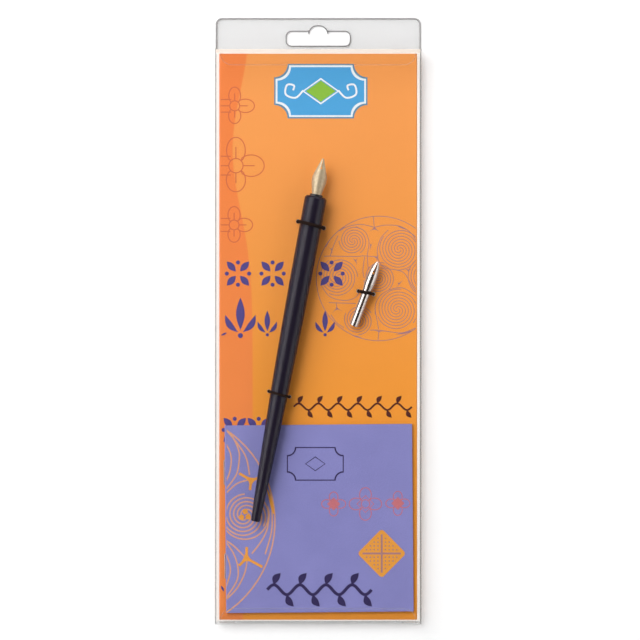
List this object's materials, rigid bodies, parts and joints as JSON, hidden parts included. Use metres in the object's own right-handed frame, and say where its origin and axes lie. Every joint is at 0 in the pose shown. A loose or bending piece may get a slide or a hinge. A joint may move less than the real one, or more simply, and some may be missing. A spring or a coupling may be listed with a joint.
{
  "type": "calligraphy set box",
  "caption": "Clear folded hang box holding a dip pen and a spare nib under elastic loops on a printed card, over a square stapled booklet; lids, flaps and tools move.",
  "frame": {"origin": "middle of the underside, which is the back face of the hanger panel, with the pack lying on its back", "axes": "+Y up the pack towards the hanging header, +X to the right as seen from the front, +Z out through the clear front"},
  "size_m": [0.101, 0.2974, 0.0188],
  "materials": {
    "clear_pet": "clear, glossy, folded sheet",
    "orange_card": "printed card, satin varnish",
    "violet_cover": "printed cover paper, satin",
    "white_paper": "uncoated white pages",
    "staple_wire": "plated wire",
    "dark_lacquer": "turned wood, glossy dark lacquer",
    "black_plastic": "moulded, satin black",
    "pale_gilt": "pale gold plating, bright",
    "nickel_plate": "bright nickel plating",
    "dark_elastic": "braided elastic cord, dark brown"
  },
  "bodies": {
    "pack": {"box_sleeve": "clear_pet", "hanger_panel": "clear_pet", "backing_card": "orange_card", "booklet_cover": "violet_cover", "booklet_pages": "white_paper", "booklet_staple_1": "staple_wire", "booklet_staple_2": "staple_wire", "pen_loop_upper": "dark_elastic", "pen_loop_lower": "dark_elastic", "spare_nib_loop": "dark_elastic"},
    "top_lid": {"top_lid": "clear_pet"},
    "top_dust_flap_left": {"top_dust_flap_left": "clear_pet"},
    "top_dust_flap_right": {"top_dust_flap_right": "clear_pet"},
    "bottom_lid": {"bottom_lid": "clear_pet"},
    "bottom_dust_flap_left": {"bottom_dust_flap_left": "clear_pet"},
    "bottom_dust_flap_right": {"bottom_dust_flap_right": "clear_pet"},
    "pen": {"pen_holder": "dark_lacquer", "nib_socket": "black_plastic", "socket_prongs": "nickel_plate"},
    "writing_nib": {"writing_nib": "pale_gilt"},
    "spare_nib": {"spare_nib": "nickel_plate"}
  },
  "joints": [
    {"name": "top_lid_crease", "type": "hinge", "parent": "pack", "child": "top_lid", "pos_m": [0, 0.13231, 0.0012], "axis": [-1, 0, 0], "range_deg": [0, 86]},
    {"name": "top_flap_crease_left", "type": "hinge", "parent": "pack", "child": "top_dust_flap_left", "pos_m": [-0.0499, 0.13171, 0.0012], "axis": [0, 0, 1], "range_deg": [0, 86]},
    {"name": "top_flap_crease_right", "type": "hinge", "parent": "pack", "child": "top_dust_flap_right", "pos_m": [0.0499, 0.13171, 0.0012], "axis": [0, 0, -1], "range_deg": [0, 86]},
    {"name": "bottom_lid_crease", "type": "hinge", "parent": "pack", "child": "bottom_lid", "pos_m": [0, -0.14871, 0.0012], "axis": [1, 0, 0], "range_deg": [0, 90]},
    {"name": "bottom_flap_crease_left", "type": "hinge", "parent": "pack", "child": "bottom_dust_flap_left", "pos_m": [-0.0499, -0.14811, 0.0012], "axis": [0, 0, -1], "range_deg": [0, 90]},
    {"name": "bottom_flap_crease_right", "type": "hinge", "parent": "pack", "child": "bottom_dust_flap_right", "pos_m": [0.0499, -0.14811, 0.0012], "axis": [0, 0, 1], "range_deg": [0, 90]},
    {"name": "pen_slide", "type": "slide", "parent": "pack", "child": "pen", "axis": [0.184, 0.9829, 0], "range_m": [0, 0.036]},
    {"name": "writing_nib_slide", "type": "slide", "parent": "pen", "child": "writing_nib", "axis": [0.184, 0.9829, 0], "range_m": [0, 0.014]},
    {"name": "spare_nib_slide", "type": "slide", "parent": "pack", "child": "spare_nib", "axis": [0.3518, 0.9361, 0], "range_m": [0, 0.015]}
  ],
  "couplings": [
    {"joint": "top_flap_crease_left", "follows": "top_lid_crease", "ratio": 1},
    {"joint": "top_flap_crease_right", "follows": "top_lid_crease", "ratio": 1},
    {"joint": "bottom_flap_crease_left", "follows": "bottom_lid_crease", "ratio": 1},
    {"joint": "bottom_flap_crease_right", "follows": "bottom_lid_crease", "ratio": 1}
  ]
}
